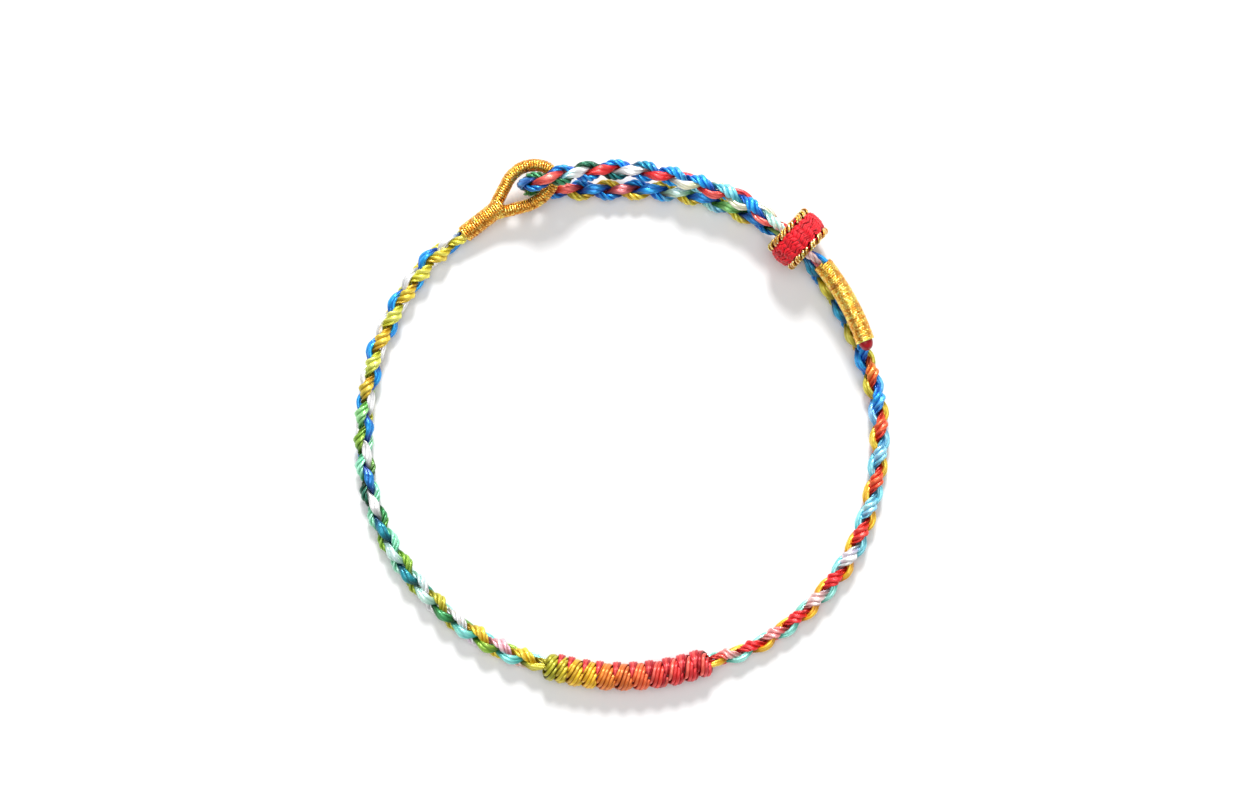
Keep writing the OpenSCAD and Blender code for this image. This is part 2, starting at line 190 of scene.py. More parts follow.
# How each strand is dyed. Columns: millimetres of cord from its first end, dye
DYE_RUNS = {
    "strand_1": [
        (0, "yellow"), (8, "yellow"), (14, "lime"), (20, "lime"), (25, "leaf"), (31, "spring"),
        (43, "spring"), (47, "mint"), (51, "pale"), (55, "lilac"), (57.5, "dusk"), (61, "dusk"),
        (64, "olive"), (69, "olive"), (76, "coral"), (88, "red"), (106, "red"), (113, "flame"),
        (120, "flame"), (126, "orange"), (132, "olive"), (140, "olive"), (152, "yellow"), (166, "gold"),
        (172, "olive"), (177, "green"), (189, "pine"), (192, "teal"), (197, "blue"), (211, "blue"),
        (214, "blush"), (219, "blush"),
    ],
    "strand_2": [
        (0, "yellow"), (12, "gold"), (21, "gold"), (25, "olive"), (29, "moss"), (35, "pine"),
        (38, "green"), (41, "moss"), (45, "moss"), (50, "olive"), (54, "olive"), (58, "gold"),
        (66, "gold"), (70, "coral"), (85, "coral"), (88, "blush"), (94, "pink"), (99, "blush"),
        (105, "lilac"), (111, "sky"), (118, "sky"), (124, "blue"), (140, "deep"), (152, "blue"),
        (157, "mint"), (161, "blue"), (177, "deep"), (190, "blue"), (197, "blue"), (200, "cyan"),
        (205, "cyan"), (209, "mint"), (219, "cyan"),
    ],
    "strand_3": [
        (0, "deep"), (8, "blue"), (20, "blue"), (34, "deep"), (40, "teal"), (46, "teal"),
        (50, "green"), (53, "green"), (57, "moss"), (60, "moss"), (63, "olive"), (72, "olive"),
        (84, "foam"), (100, "foam"), (107, "cyan"), (116, "cyan"), (121, "sky"), (127, "blue"),
        (138, "teal"), (149, "deep"), (160, "blue"), (178, "deep"), (183, "sky"), (186, "pale"),
        (196, "pale"), (199, "cream"), (207, "cream"), (211, "blush"), (214, "blue"), (219, "blue"),
    ],
    "strand_4": [
        (0, "deep"), (1.4, "deep"), (3, "pale"), (10, "pale"), (17, "pale"), (34, "pale"),
        (41, "mint"), (50, "mint"), (55, "aqua"), (63, "aqua"), (74, "gold"), (84, "gold"),
        (89, "amber"), (104, "amber"), (116, "gold"), (126, "olive"), (140, "olive"), (150, "green"),
        (155, "leaf"), (159, "mint"), (163, "rose"), (168, "rose"), (173, "coral"), (182, "coral"),
        (190, "red"), (199, "red"), (202.5, "coral"), (205.5, "red"), (208, "coral"), (211.5, "coral"),
        (214, "rose"), (219, "rose"),
    ],
}

# The studio light is a little dim, so every dye is laid down brighter than it looks
dye_light = 1.15


def to_linear(rgb):
    """Light levels of an sRGB colour of 0 to 255."""
    level = np.asarray(rgb, float) / 255
    return dye_light * np.where(level <= 0.04045, level / 12.92, ((level + 0.055) / 1.055) ** 2.4)


def uneven_dye(rgb, rng, spread, light=1):
    """A dye that is a little lighter or darker from thread to thread."""
    return np.clip(to_linear(rgb) * (light + spread * rng.normal()), 0, 1)


def with_painted_shade(colour, facing):
    """A dye with painted shade, as it looks from the open down into a crease: darker and purer the less open
    it lies.
    """
    open_from, shut_below = 0.8, -0.1
    darkening = 0.5
    hidden = 1 - np.clip((facing - shut_below) / (open_from - shut_below), 0, 1)
    return colour ** (1 + hidden) * (1 - darkening * hidden)


# Directions and paths


def unit(directions):
    return directions / np.linalg.norm(directions, axis=-1, keepdims=True)


def at_angle(angle, radius, height):
    """A place round the ring's middle, with its angle in degrees."""
    angle = np.radians(angle)
    return np.stack([radius * np.cos(angle), radius * np.sin(angle), height + 0 * angle], axis=-1)


def clockwise(outward):
    """The way along the ring, clockwise from above, at the place that lies in the outward direction."""
    return np.array([outward[1], -outward[0], 0])


def step_lengths(path):
    return np.linalg.norm(path[1:] - path[:-1], axis=1)


def distance_along(path):
    """How far each point of a path lies from its start, along the path."""
    return np.r_[0, np.cumsum(step_lengths(path))]


def read_off(at, places, table):
    """Rows of a table that is known at some places, read off at others."""
    return np.stack([np.interp(at, places, table[:, column]) for column in range(3)], axis=1)


def headings(path, closed=False):
    """Direction of a path at each of its points."""
    if closed:
        return unit(np.roll(path, -1, axis=0) - np.roll(path, 1, axis=0))
    return unit(np.gradient(path, axis=0))


def carried(ahead, start_side):
    """Side and up along a path, with the side carried along it without twist."""
    sides = np.empty_like(ahead)
    side = np.asarray(start_side, float)
    for place, heading in enumerate(ahead):
        side = side - heading * (side @ heading)
        side = side / np.linalg.norm(side)
        sides[place] = side
    return sides, np.cross(ahead, sides)


# Meshes


def make_piece(name, parts, material, nodes=()):
    """One mesh object from parts of (points, quads, colours, uv), riding on the part's one body."""
    points = np.concatenate([part[0] for part in parts]) * MM
    first = np.cumsum([0] + [len(part[0]) for part in parts[:-1]])
    quads = np.concatenate([part[1] + start for part, start in zip(parts, first)])
    colours = np.concatenate([part[2] for part in parts])
    uvs = np.concatenate([part[3] for part in parts])
    mesh = bpy.data.meshes.new(name)
    mesh.vertices.add(len(points))
    mesh.vertices.foreach_set("co", points.ravel())
    mesh.loops.add(quads.size)
    mesh.loops.foreach_set("vertex_index", quads.ravel().astype(np.int32))
    mesh.polygons.add(len(quads))
    mesh.polygons.foreach_set("loop_start", np.arange(0, quads.size, 4, dtype=np.int32))
    mesh.polygons.foreach_set("use_smooth", np.ones(len(quads), dtype=bool))
    dye = mesh.color_attributes.new("dye", "FLOAT_COLOR", "POINT")
    dye.data.foreach_set("color", np.c_[colours, np.ones(len(colours))].ravel())
    layer = mesh.uv_layers.new(name="thread")
    layer.data.foreach_set("uv", uvs.reshape(-1, 2).ravel())
    mesh.update()
    mesh.validate()
    mesh.materials.append(material)
    piece = bpy.data.objects.new(name, mesh)
    bpy.context.collection.objects.link(piece)
    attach(piece, "root")
    if nodes:
        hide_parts(*nodes)


def grid_part(rings, colours, along, closed=False, capped=True):
    """A tube's points and faces from its rings of points, with one colour for each ring or each point.

    Along is each ring's place along the tube, for its uv.
    """
    count, sides = rings.shape[:2]
    spans = count if closed else count - 1
    ring = np.repeat(np.arange(spans), sides)
    corner = np.tile(np.arange(sides), spans)
    next_ring = (ring + 1) % count
    next_corner = (corner + 1) % sides
    quads = np.stack([
        ring * sides + corner,
        ring * sides + next_corner,
        next_ring * sides + next_corner,
        next_ring * sides + corner,
    ], axis=1)
    v0 = along[ring]
    v1 = along[ring] + (along[1] - along[0]) if closed else along[next_ring]
    u0 = corner / sides
    u1 = (corner + 1) / sides
    uv = np.stack([np.c_[u0, v0], np.c_[u1, v0], np.c_[u1, v1], np.c_[u0, v1]], axis=1)
    points = rings.reshape(-1, 3)
    shades = np.repeat(colours, sides, axis=0) if np.ndim(colours) == 2 else colours.reshape(-1, 3)
    if capped and not closed:
        ends = []
        end_uv = []
        for end, flip in ((0, True), (count - 1, False)):
            start = end * sides
            points = np.vstack([points, points[start:start + sides].mean(axis=0)])
            shades = np.vstack([shades, shades[start]])
            hub = len(points) - 1
            for first in range(0, sides, 2):
                face = [start + first, start + (first + 1) % sides, start + (first + 2) % sides, hub]
                ends.append(face[::-1] if flip else face)
                end_uv.append([(0, along[end])] * 4)
        quads = np.vstack([quads, np.array(ends)])
        uv = np.concatenate([uv, np.array(end_uv)])
    return points, quads, shades, uv


def tube(path, half_side, half_up, sides, colour, start_side=UP, closed=False, ply=0.0, ply_turns=0.0,
         scale=1.0, core=None):
    """A thread along a path, with an oval section.

    Ply is the height of two plies that twist round it, as a share of its section. Where a core is given, the
    thread's side is turned away from the core, and painted shade darkens it towards the core.
    """
    ahead = headings(path, closed)
    if core is None:
        side, up = carried(ahead, start_side)
    else:
        away = path - core
        side = unit(away - ahead * (away * ahead).sum(axis=1, keepdims=True))
        up = np.cross(ahead, side)
    count = len(path)
    corners = np.arange(sides) / sides * TAU
    share = np.arange(count) / count
    swell = 1 + ply * np.cos(2 * corners[None, :] - TAU * ply_turns * share[:, None])
    size = np.broadcast_to(scale, (count,))[:, None]
    rings = (path[:, None, :]
             + (swell * size * half_side * np.cos(corners))[..., None] * side[:, None, :]
             + (swell * size * half_up * np.sin(corners))[..., None] * up[:, None, :])
    shades = np.broadcast_to(np.asarray(colour, float), (count, 3))
    if core is not None:
        facing = (unit(rings - path[:, None, :]) * unit(path - core)[:, None, :]).sum(axis=2)
        shades = with_painted_shade(shades[:, None, :], facing[..., None])
    return grid_part(rings, shades, distance_along(path), closed)


# How unevenly a fine thread is wound: its place in the turn in radians, its height and its dye, and how many
# times in a turn these are drawn anew
winding_turn_play, winding_height_play, winding_dye_play = 0.05, 0.018, 0.25
knots_a_turn = 3
# Its half width as a share of the pitch, so that neighbours overlap, and the corners of its section
winding_cover = 0.62
winding_sides = 6


def coil(path, radius, pitch, thread_r, colour, start_side, seed, steps=22, scale=None):
    """A fine thread wound closely round a path, each turn a little uneven."""
    places = distance_along(path)
    length = places[-1]
    sides, ups = carried(headings(path), start_side)
    windings = length / pitch
    count = int(windings * steps)
    at = np.linspace(0, length, count)
    side, up = unit(read_off(at, places, sides)), unit(read_off(at, places, ups))
    rng = np.random.default_rng(seed)
    knots = int(windings * knots_a_turn) + 4
    knot_at = np.linspace(0, length, knots)
    uneven = np.interp(at, knot_at, rng.normal(0, 1, knots))
    angle = TAU * at / pitch + winding_turn_play * uneven
    wide = np.ones(count) if scale is None else np.interp(at, places, scale)
    out_by = (radius - thread_r) + winding_height_play * uneven
    out = (out_by * wide * np.cos(angle))[:, None] * side + (out_by * np.sin(angle))[:, None] * up
    line = read_off(at, places, path) + out
    tone = 1 + winding_dye_play * np.interp(at, knot_at, rng.normal(0, 1, knots))
    shades = np.clip(np.asarray(colour)[None, :] * tone[:, None], 0, 1)
    away = unit(out)
    across_thread = np.cross(headings(line), away)
    corners = np.arange(winding_sides) / winding_sides * TAU
    rings = (line[:, None, :]
             + (thread_r * np.cos(corners))[None, :, None] * away[:, None, :]
             + (pitch * winding_cover * np.sin(corners))[None, :, None] * across_thread[:, None, :])
    # Painted shade: the thread is left open on its outer side and darkened where it lies on the cord
    facing = 0.6 + 0.4 * np.cos(corners)
    return grid_part(rings, with_painted_shade(shades[:, None, :], facing[None, :, None]), distance_along(line))


# The braid's middle line

points_between_rows = 24
ring_gap = 0.16


def filled_route():
    """The curve through ROUTE's places, with the cord's tightness, roll and width at each of its points."""
    rows = np.array(ROUTE, float)
    spots = at_angle(rows[:, 0], ring_r + rows[:, 1], rows[:, 2])
    gap = step_lengths(spots)
    slope = (spots[1:] - spots[:-1]) / gap[:, None]
    heading = np.vstack([
        slope[:1],
        (slope[:-1] * gap[1:, None] + slope[1:] * gap[:-1, None]) / (gap[:-1] + gap[1:])[:, None],
        slope[-1:],
    ])
    share = np.arange(points_between_rows) / points_between_rows
    t = share[None, :, None]
    leaving = heading[:-1, None, :] * gap[:, None, None]
    arriving = heading[1:, None, :] * gap[:, None, None]
    curve = (spots[:-1, None, :] * (2 * t**3 - 3 * t**2 + 1) + leaving * (t**3 - 2 * t**2 + t)
             + spots[1:, None, :] * (3 * t**2 - 2 * t**3) + arriving * (t**3 - t**2))

    def filled(column, smooth):
        start, end = rows[:-1, column, None], rows[1:, column, None]
        change = (end - start) * share
        if smooth:
            change = change * share * (3 - 2 * share)
        return np.r_[(start + change).ravel(), rows[-1, column]]

    points = np.vstack([curve.reshape(-1, 3), spots[-1:]])
    return points, filled(3, smooth=True), filled(4, smooth=False), filled(5, smooth=True)


# A cord that is pulled tight has longer turns. Tightness is their number in the length of one slack turn.
route, route_tight, route_roll, route_width = filled_route()
run = distance_along(route)
turns = np.r_[0, np.cumsum(step_lengths(route) * (route_tight[1:] + route_tight[:-1]) / 2 / braid_turn)]

# The rings of a strand's points stand at these stations along the cord
stations = np.arange(0, run[-1], ring_gap)
middle = read_off(stations, run, route)
sideways, upward = carried(headings(middle), np.cross(UP, middle[1] - middle[0]))
width = cord_w * np.interp(stations, run, route_width)
roll = np.radians(np.interp(stations, run, route_roll))
turned = np.interp(stations, run, turns) * TAU
across = sideways * np.cos(roll)[:, None] + upward * np.sin(roll)[:, None]
outward = upward * np.cos(roll)[:, None] - sideways * np.sin(roll)[:, None]


# Strands

# Measures as a strand passes over, between and under the others, in shares of cord_w: how far out from the
# cord's middle line it lies, and how far to the side
float_out = (0.345, 0.358, 0.385)
float_side = (0.059, 0.059, 0.12)

# Three plies twist round one another. Braiding winds up those of two strands and eases those of the others.
# Ply_turn is the length of one turn. Ply_out is the place of a ply's middle between the strand's middle and
# its skin. Thick and wide are the strand's measures over, between and under.
WOUND = {"ply_turn": 2.9, "ply_out": 0.46, "thick": (0.33, 0.37, 0.26), "wide": (0.70, 0.50, 0.56)}
EASED = {"ply_turn": 12, "ply_out": 0.40, "thick": (0.32, 0.35, 0.26), "wide": (0.54, 0.45, 0.50)}
plies = 3
ply_sides = 12

# Place of a right-hand strand in its turn at the cord's first end, and how far its flat side turns ahead of
# its place between two crossings
first_phase = math.radians(-45)
strand_tilt = math.radians(-14)

# A float on the underside bears the cord, so it is pulled in and narrower by these shares
under_pull, under_narrow = 0.2, 0.35

# Where a strand's floats on the ring's inner side slip under the others. Columns: millimetres of cord,
# share pulled in
TUCKED = {
    "strand_3": [(78, 0), (86, 0.2), (112, 0.2), (122, 0)],
    "strand_4": [(0, 0.4), (34, 0.4), (46, 0), (78, 0), (86, 0.2), (112, 0.2), (122, 0)],
}

# Steps along the cord at which a ply's random turn and tone are drawn, and how large they are
wander_step, wander = 1.7, 0.12
tone_step, tone_change = 2.3, 0.07

# The plies' dyes change one after another along the cord, and their fibres differ
dye_shift, fibre_shift = 0.5, 7.3

# The strands shade one another, so their dyes are laid down brighter than they look
strand_light = 1.32

# Columns: strand, whether it twists to the left, whether it lies half a turn on
STRANDS = [
    ("strand_1", False, False),
    ("strand_2", False, True),
    ("strand_3", True, False),
    ("strand_4", True, True),
]
strand_seed = 11


def crossing(measure, phase):
    """A measure that has one value over, one between and one under the other strands."""
    over, between, under = measure
    return (over * (1 + 2 * np.cos(2 * phase) + np.cos(4 * phase)) / 4
            + between * (1 - np.cos(4 * phase)) / 2
            + under * (1 - 2 * np.cos(2 * phase) + np.cos(4 * phase)) / 4)


def dye_along(name, places):
    """A strand's own dye at each place along the cord."""
    changes = np.array([place for place, dye in DYE_RUNS[name]], float)
    shades = np.array([to_linear(DYES[dye]) for place, dye in DYE_RUNS[name]])
    return read_off(places, changes, shades)


def drift(rng, step):
    """A random value that drifts along the cord, drawn anew at each step."""
    knots = np.arange(0, run[-1] + 2 * step, step)
    return np.interp(stations, knots, rng.normal(0, 1, len(knots)))


def strand_parts(name, left, far, seed):
    """The three plies of one strand."""
    kind = EASED if left else WOUND
    ply_out = kind["ply_out"]
    sign = -1 if far else 1
    first, second = (outward, across) if left else (across, outward)
    phase = first_phase + turned + (math.pi / 2 if left else 0)
    flat = phase + strand_tilt * np.sin(2 * phase)
    thin = first * np.cos(flat)[:, None] + second * np.sin(flat)[:, None]
    broad = second * np.cos(flat)[:, None] - first * np.sin(flat)[:, None]

    # How far each float lies beneath the cord, and how far on the inner side of its bend
    beneath = np.clip(-sign * first[:, 2] * np.cos(phase), 0, 1) ** 1.5
    within = np.clip(sign * (first * sideways).sum(axis=1) * np.cos(phase), 0, 1)
    tuck = np.interp(stations, *np.array(TUCKED.get(name, [(0, 0)]), float).T)
    pulled = (1 - under_pull * beneath) * (1 - tuck * within)
    centre = middle + (sign * width)[:, None] * (
        first * (crossing(float_out, phase) * np.cos(phase) * pulled)[:, None]
        + second * (crossing(float_side, phase) * np.sin(phase))[:, None])
    half_thin = width * crossing(kind["thick"], phase) / 2
    half_broad = width * crossing(kind["wide"], phase) / 2 * (1 - under_narrow * beneath)

    def skin(angle):
        """The way from the strand's middle to its oval skin."""
        way = sideways * np.cos(angle)[:, None] + upward * np.sin(angle)[:, None]
        return (thin * (half_thin * (way * thin).sum(axis=1))[:, None]
                + broad * (half_broad * (way * broad).sum(axis=1))[:, None])

    # Painted shade: a ply is darkened where it faces the other plies, and where the strand dives under
    # another
    corners = TAU * np.arange(ply_sides) / ply_sides
    reached = np.abs(ply_out + (1 - ply_out) * np.exp(1j * corners))
    open_part = np.clip((reached - 0.5) / 0.45, 0, 1)
    in_sight = 1.25 * np.abs(np.cos(phase)) ** 1.4 - 0.15
    facing = (open_part[None, :] * in_sight[:, None])[..., None]

    rng = np.random.default_rng(seed)
    wobble = wander * drift(rng, wander_step)
    parts = []
    for ply in range(plies):
        angle = TAU * (stations / kind["ply_turn"] + ply / plies) + wobble
        core = centre + ply_out * skin(angle)
        rings = np.stack([core + (1 - ply_out) * skin(angle + corner) for corner in corners], axis=1)
        tone = 1 + tone_change * drift(rng, tone_step)
        shades = np.clip(strand_light * dye_along(name, stations + dye_shift * ply) * tone[:, None], 0, 1)
        shades = with_painted_shade(shades[:, None, :], facing)
        parts.append(grid_part(rings, shades, stations + fibre_shift * ply))
    return parts


# Materials


def new_material(name):
    material = bpy.data.materials.new(name)
    material.use_nodes = True
    return material, material.node_tree.nodes["Principled BSDF"]


def node(tree, kind, **values):
    """A shader node, with its properties and inputs set by name."""
    made = tree.nodes.new(kind)
    for key, value in values.items():
        if hasattr(made, key):
            setattr(made, key, value)
        else:
            made.inputs[key.replace("_", " ")].default_value = value
    return made


def set_inputs(target, values):
    for name, value in values.items():
        target.inputs[name].default_value = value


def fibre_noise(tree, shader, around, along, roughness, strength, depth):
    """Noise drawn out round or along each thread, from its own uv, which also raises its fibres."""
    uv = node(tree, "ShaderNodeUVMap", uv_map="thread")
    stretch = node(tree, "ShaderNodeMapping", Scale=(around, along, 1))
    noise = node(tree, "ShaderNodeTexNoise", Scale=1.0, Detail=3.0, Roughness=roughness)
    bump = node(tree, "ShaderNodeBump", Strength=strength, Distance=depth)
    tree.links.new(uv.outputs["UV"], stretch.inputs["Vector"])
    tree.links.new(stretch.outputs["Vector"], noise.inputs["Vector"])
    tree.links.new(noise.outputs["Fac"], bump.inputs["Height"])
    tree.links.new(bump.outputs["Normal"], shader.inputs["Normal"])
    return noise


def tint_dye(tree, shader, noise, stops):
    """The thread's dye, multiplied by a ramp of colours over the noise. Stops are (place, colour)."""
    dye = node(tree, "ShaderNodeVertexColor", layer_name="dye")
    ramp = node(tree, "ShaderNodeValToRGB")
    for place, colour in stops[1:-1]:
        ramp.color_ramp.elements.new(place)
    for element, (place, colour) in zip(ramp.color_ramp.elements, stops):
        element.position = place
        element.color = (*colour, 1)
    mix = node(tree, "ShaderNodeMix", data_type="RGBA", blend_type="MULTIPLY", Factor=1.0)
    tree.links.new(noise.outputs["Fac"], ramp.inputs["Fac"])
    tree.links.new(dye.outputs["Color"], mix.inputs["A"])
    tree.links.new(ramp.outputs["Color"], mix.inputs["B"])
    tree.links.new(mix.outputs["Result"], shader.inputs["Base Color"])


def thread_material(name, roughness, specular, streak, lustre, body_gloss):
    """A dyed thread. Body gloss is the share of its shine that takes the colour of the dye."""
    material, shader = new_material(name)
    tree = material.node_tree
    noise = fibre_noise(tree, shader, around=50, along=0.6, roughness=0.6, strength=0.8, depth=0.00003)
    tint_dye(tree, shader, noise, [(0.32, (1 - streak,) * 3), (0.68, (1 + streak,) * 3)])
    grain = node(tree, "ShaderNodeTangent", direction_type="UV_MAP", uv_map="thread")
    tree.links.new(grain.outputs["Tangent"], shader.inputs["Tangent"])
    set_inputs(shader, {
        "Anisotropic": lustre,
        "Roughness": roughness,
        "IOR": 1.6,
        "Specular IOR Level": specular,
        "Metallic": body_gloss,
    })
    return material


def gold_material(name):
    """Metallic thread. Its flecks are painted reflections, from orange-brown painted dark reflections to
    cream painted glints, and are smoother the brighter they are.
    """
    material, shader = new_material(name)
    tree = material.node_tree
    noise = fibre_noise(tree, shader, around=2.5, along=4.5, roughness=0.7, strength=1.0, depth=0.00007)
    # Painted reflections: brown stands in for dark reflections, and cream, brighter than white, for glints
    brown, orange, cream = (0.5, 0.22, 0.05), (0.96, 0.78, 0.55), (1.6, 2.05, 4.6)
    tint_dye(tree, shader, noise, [(0.36, brown), (0.5, orange), (0.6, cream)])
    rough = node(tree, "ShaderNodeMapRange", From_Min=0.3, From_Max=0.7, To_Min=0.42, To_Max=0.14)
    tree.links.new(noise.outputs["Fac"], rough.inputs["Value"])
    tree.links.new(rough.outputs["Result"], shader.inputs["Roughness"])
    set_inputs(shader, {"Metallic": 1.0})
    return material


satin = thread_material(
    "satin_thread", roughness=0.27, specular=0.9, streak=0.2, lustre=0.85, body_gloss=0.5)
wound_satin = thread_material(
    "wound_satin_thread", roughness=0.36, specular=0.75, streak=0.3, lustre=0.6, body_gloss=0.45)
knit = thread_material(
    "knit_thread", roughness=0.45, specular=0.4, streak=0.2, lustre=0.3, body_gloss=0.15)
sealed = thread_material(
    "sealed_thread", roughness=0.26, specular=0.3, streak=0.12, lustre=0.0, body_gloss=0.0)
gold = gold_material("metallic_thread")

# Camera, straight above. It takes in what the photograph does: the photograph's width and height and the
# place of the ring's middle are in pixels, and px is the millimetres in one.
px = 0.115
photo_w, photo_h = 1250, 800
ring_x, ring_y = 622, 425
camera_data = bpy.data.cameras.new("camera")
camera_data.lens = 100
camera_data.sensor_width = 36
camera_data.clip_start = 0.01
camera_data.clip_end = 20
camera_x = (photo_w / 2 - ring_x) * px
camera_y = (ring_y - photo_h / 2) * px
camera_up = photo_w * px * camera_data.lens / camera_data.sensor_width
camera = bpy.data.objects.new("camera", camera_data)
camera.location = (camera_x * MM, camera_y * MM, (camera_up + lie) * MM)
bpy.context.collection.objects.link(camera)
bpy.context.scene.camera = camera

# The four strands
for order, (name, left, far) in enumerate(STRANDS):
    parts = strand_parts(name, left, far, strand_seed + order)
    make_piece("plied_" + name, parts, satin, [name])


# Wound bar

# Columns: angle where a ridge ends, colour
RIDGES = [
    (255.1, (176, 172, 36)), (257.5, (212, 192, 44)), (261.1, (236, 186, 36)), (264.3, (234, 182, 36)),
    (268.4, (236, 138, 44)), (272.3, (234, 122, 48)), (276.1, (234, 104, 54)), (280.3, (228, 66, 52)),
    (283.8, (220, 50, 50)), (287.1, (222, 52, 56)), (290.3, (232, 70, 74)),
]

# From this ridge on, counted from 0, crimson and coral threads stand between those of a ridge's own colour
first_mixed_ridge = 7
crimson_thread = (178, 14, 28)
coral_thread = (238, 96, 82)

# Threads of a ridge: their number round the bar, half measures and slant, the radius at which they slant,
# how far each ridge's threads stand ahead of the last ridge's as a share of their spacing, and how much of
# the ridge's width they fill
ridge_threads = 7
ridge_half_thick, ridge_half_wide = 0.19, 0.24
ridge_slant = math.radians(20)
ridge_slant_r = 1.45
ridge_stagger = 0.37
ridge_fill = 0.97
ridge_ply, ridge_ply_turns = 0.05, 6
# How far a thread dives into a groove, and further at the bar's ends, and is pressed in on the inner side
groove_dive, bar_end_dive, inner_press = 0.5, 0.4, 0.16
# How uneven the threads are: their place round the bar in radians, their height and their dye
ridge_turn_play, ridge_height_play, ridge_dye_play = 0.06, 0.015, 0.15
bar_thread_sides = 10

# Small loops, of three threads side by side. Columns: side, colour
LOOP_THREADS = [(-1, (196, 26, 40)), (0, (222, 70, 66)), (1, (172, 14, 30))]
small_loop_r, small_loop_thread_r = 1.5, 0.22
small_loop_ply, small_loop_ply_turns = 0.07, 4
small_loop_dye_play = 0.16
threads_apart, middle_lift = 0.36, 0.04
# Where a loop begins and how far it goes round the bar, in degrees, and how it leans along the bar
loop_from, loop_sweep, sweep_growth = -75, 150, 4
loop_lean, loop_shift = 0.3, 0.1
# Size of the first loop, and how much each next one is larger
first_size, growth = 0.75, 0.03
# How far a loop's two ends sink into the bar. Foot_from and head_to are shares of the loop's length.
foot_sink, foot_from = 0.3, 0.62
head_sink, head_to = 0.5, 0.3

# A dark rod inside the bar closes what shows between the threads
bar_core_from, bar_core_to, bar_core_r = bar_from + 0.6, 289.5, 1.12
bar_core_red = (96, 22, 16)


def round_bar(angle_at, radius, around):
    """Points round the bar. Around is 0 towards the ring's middle and a quarter turn at the top."""
    return at_angle(angle_at, bar_bend - radius * np.cos(around), bar_z + radius * np.sin(around))


def ridge_parts(rng):
    """Each ridge is a ring of slanted threads that dive into the grooves at both of its sides."""
    t = np.linspace(-1, 1, 30)
    last = len(RIDGES) - 1
    parts = []
    begin = bar_from
    for ridge, (end, rgb) in enumerate(RIDGES):
        wide = math.radians(end - begin) * bar_bend
        span = wide / math.tan(ridge_slant) / ridge_slant_r
        place = (begin + end) / 2 + np.degrees(t * wide / 2 * ridge_fill / bar_bend)
        at_bar_end = (ridge == 0) * (t < 0) + (ridge == last) * (t > 0)
        dive = (groove_dive + bar_end_dive * at_bar_end) * np.abs(t) ** 3
        for thread in range(ridge_threads):
            start = TAU * (thread + ridge_stagger * ridge) / ridge_threads
            around = start - t * span / 2 + ridge_turn_play * rng.normal()
            radius = bar_r - ridge_half_thick + ridge_height_play * rng.normal() - dive
            radius = radius - inner_press * np.clip(np.cos(around), 0, 1) ** 3
            dyes = (rgb, crimson_thread, coral_thread) if ridge >= first_mixed_ridge else (rgb,)
            shade = uneven_dye(dyes[thread % len(dyes)], rng, ridge_dye_play)
            path = round_bar(place, radius, around)
            parts.append(tube(
                path, ridge_half_thick, ridge_half_wide, bar_thread_sides, shade, ply=ridge_ply,
                ply_turns=ridge_ply_turns, core=at_angle(place, bar_bend, bar_z)))
        begin = end
    return parts


def small_loop_parts(rng):
    """A small loop stands at the inner edge of each groove and runs down into it, larger along the bar."""
    t = np.linspace(0, 1, 30)
    foot_dip = foot_sink * np.clip((t - foot_from) / (1 - foot_from), 0, 1) ** 1.3
    head_dip = head_sink * (1 - np.clip(t / head_to, 0, 1)) ** 2
    parts = []
    for order, (groove, rgb) in enumerate(RIDGES[:-1]):
        grown = first_size + growth * order
        around = np.radians(loop_from + (loop_sweep + sweep_growth * order) * t)
        apart = threads_apart * grown * np.clip((1 - t) / 0.5, 0, 1)
        ease = grown * np.clip(np.minimum(t * 1.3, 1 - t) * 4.5 + 0.2, 0.2, 1)
        for side, red in LOOP_THREADS:
            radius = small_loop_r - foot_dip - head_dip + middle_lift * (side == 0)
            place = groove + np.degrees((loop_lean * np.cos(around) - loop_shift + side * apart) / bar_bend)
            shade = uneven_dye(red, rng, small_loop_dye_play)
            path = round_bar(place, radius, around)
            parts.append(tube(
                path, small_loop_thread_r, small_loop_thread_r, bar_thread_sides, shade, ply=small_loop_ply,
                ply_turns=small_loop_ply_turns, scale=ease, core=at_angle(place, bar_bend, bar_z)))
    rod = at_angle(np.linspace(bar_core_from, bar_core_to, 60), bar_bend, bar_z)
    parts.append(tube(rod, bar_core_r, bar_core_r, 16, to_linear(bar_core_red)))
    return parts


bar_rng = np.random.default_rng(5)
make_piece("bar_ridges", ridge_parts(bar_rng), wound_satin, ["wound_bar"])
make_piece("bar_small_loops", small_loop_parts(bar_rng), wound_satin)


# Gold loop, in its own flat frame: along the neck, across it, and up from its plane

# The neck's mouth lies this far inside ring_r, and the neck points this way across the floor
mouth_at, mouth_in = 129.4, 0.95
neck_way = math.radians(37)
mouth = at_angle(mouth_at, ring_r - mouth_in, lie)
rise = math.radians(loop_rise)
along_neck = np.array([
    math.cos(rise) * math.cos(neck_way),
    math.cos(rise) * math.sin(neck_way),
    math.sin(rise),
])
across_neck = np.array([-math.sin(neck_way), math.cos(neck_way), 0])
off_neck = np.cross(along_neck, across_neck)

# The loop's outline leaves the neck along one arm, bends round three times and comes back along the other.
# Slopes are those of the arms to the neck, and turns those of the bends, in degrees.
fork = (3.9, 0.02)
out_slope, back_slope = 25, 23
shoulder_turn, end_turn = 80, 102
belly_turn = out_slope - shoulder_turn - end_turn + 180 + back_slope
LOOP_MOVES = [
    ("go", 4.08),
    ("bend", 3.6, shoulder_turn),
    ("bend", 1.5, end_turn),
    ("bend", 5, belly_turn),
    ("go", 4.1),
]
outline_step = 0.15

# The neck's length, with its root between the arms, and where, over what length and by what share it widens
neck_to = 5.6
flare_from, flare_len, flare = 4.1, 1.5, 0.36
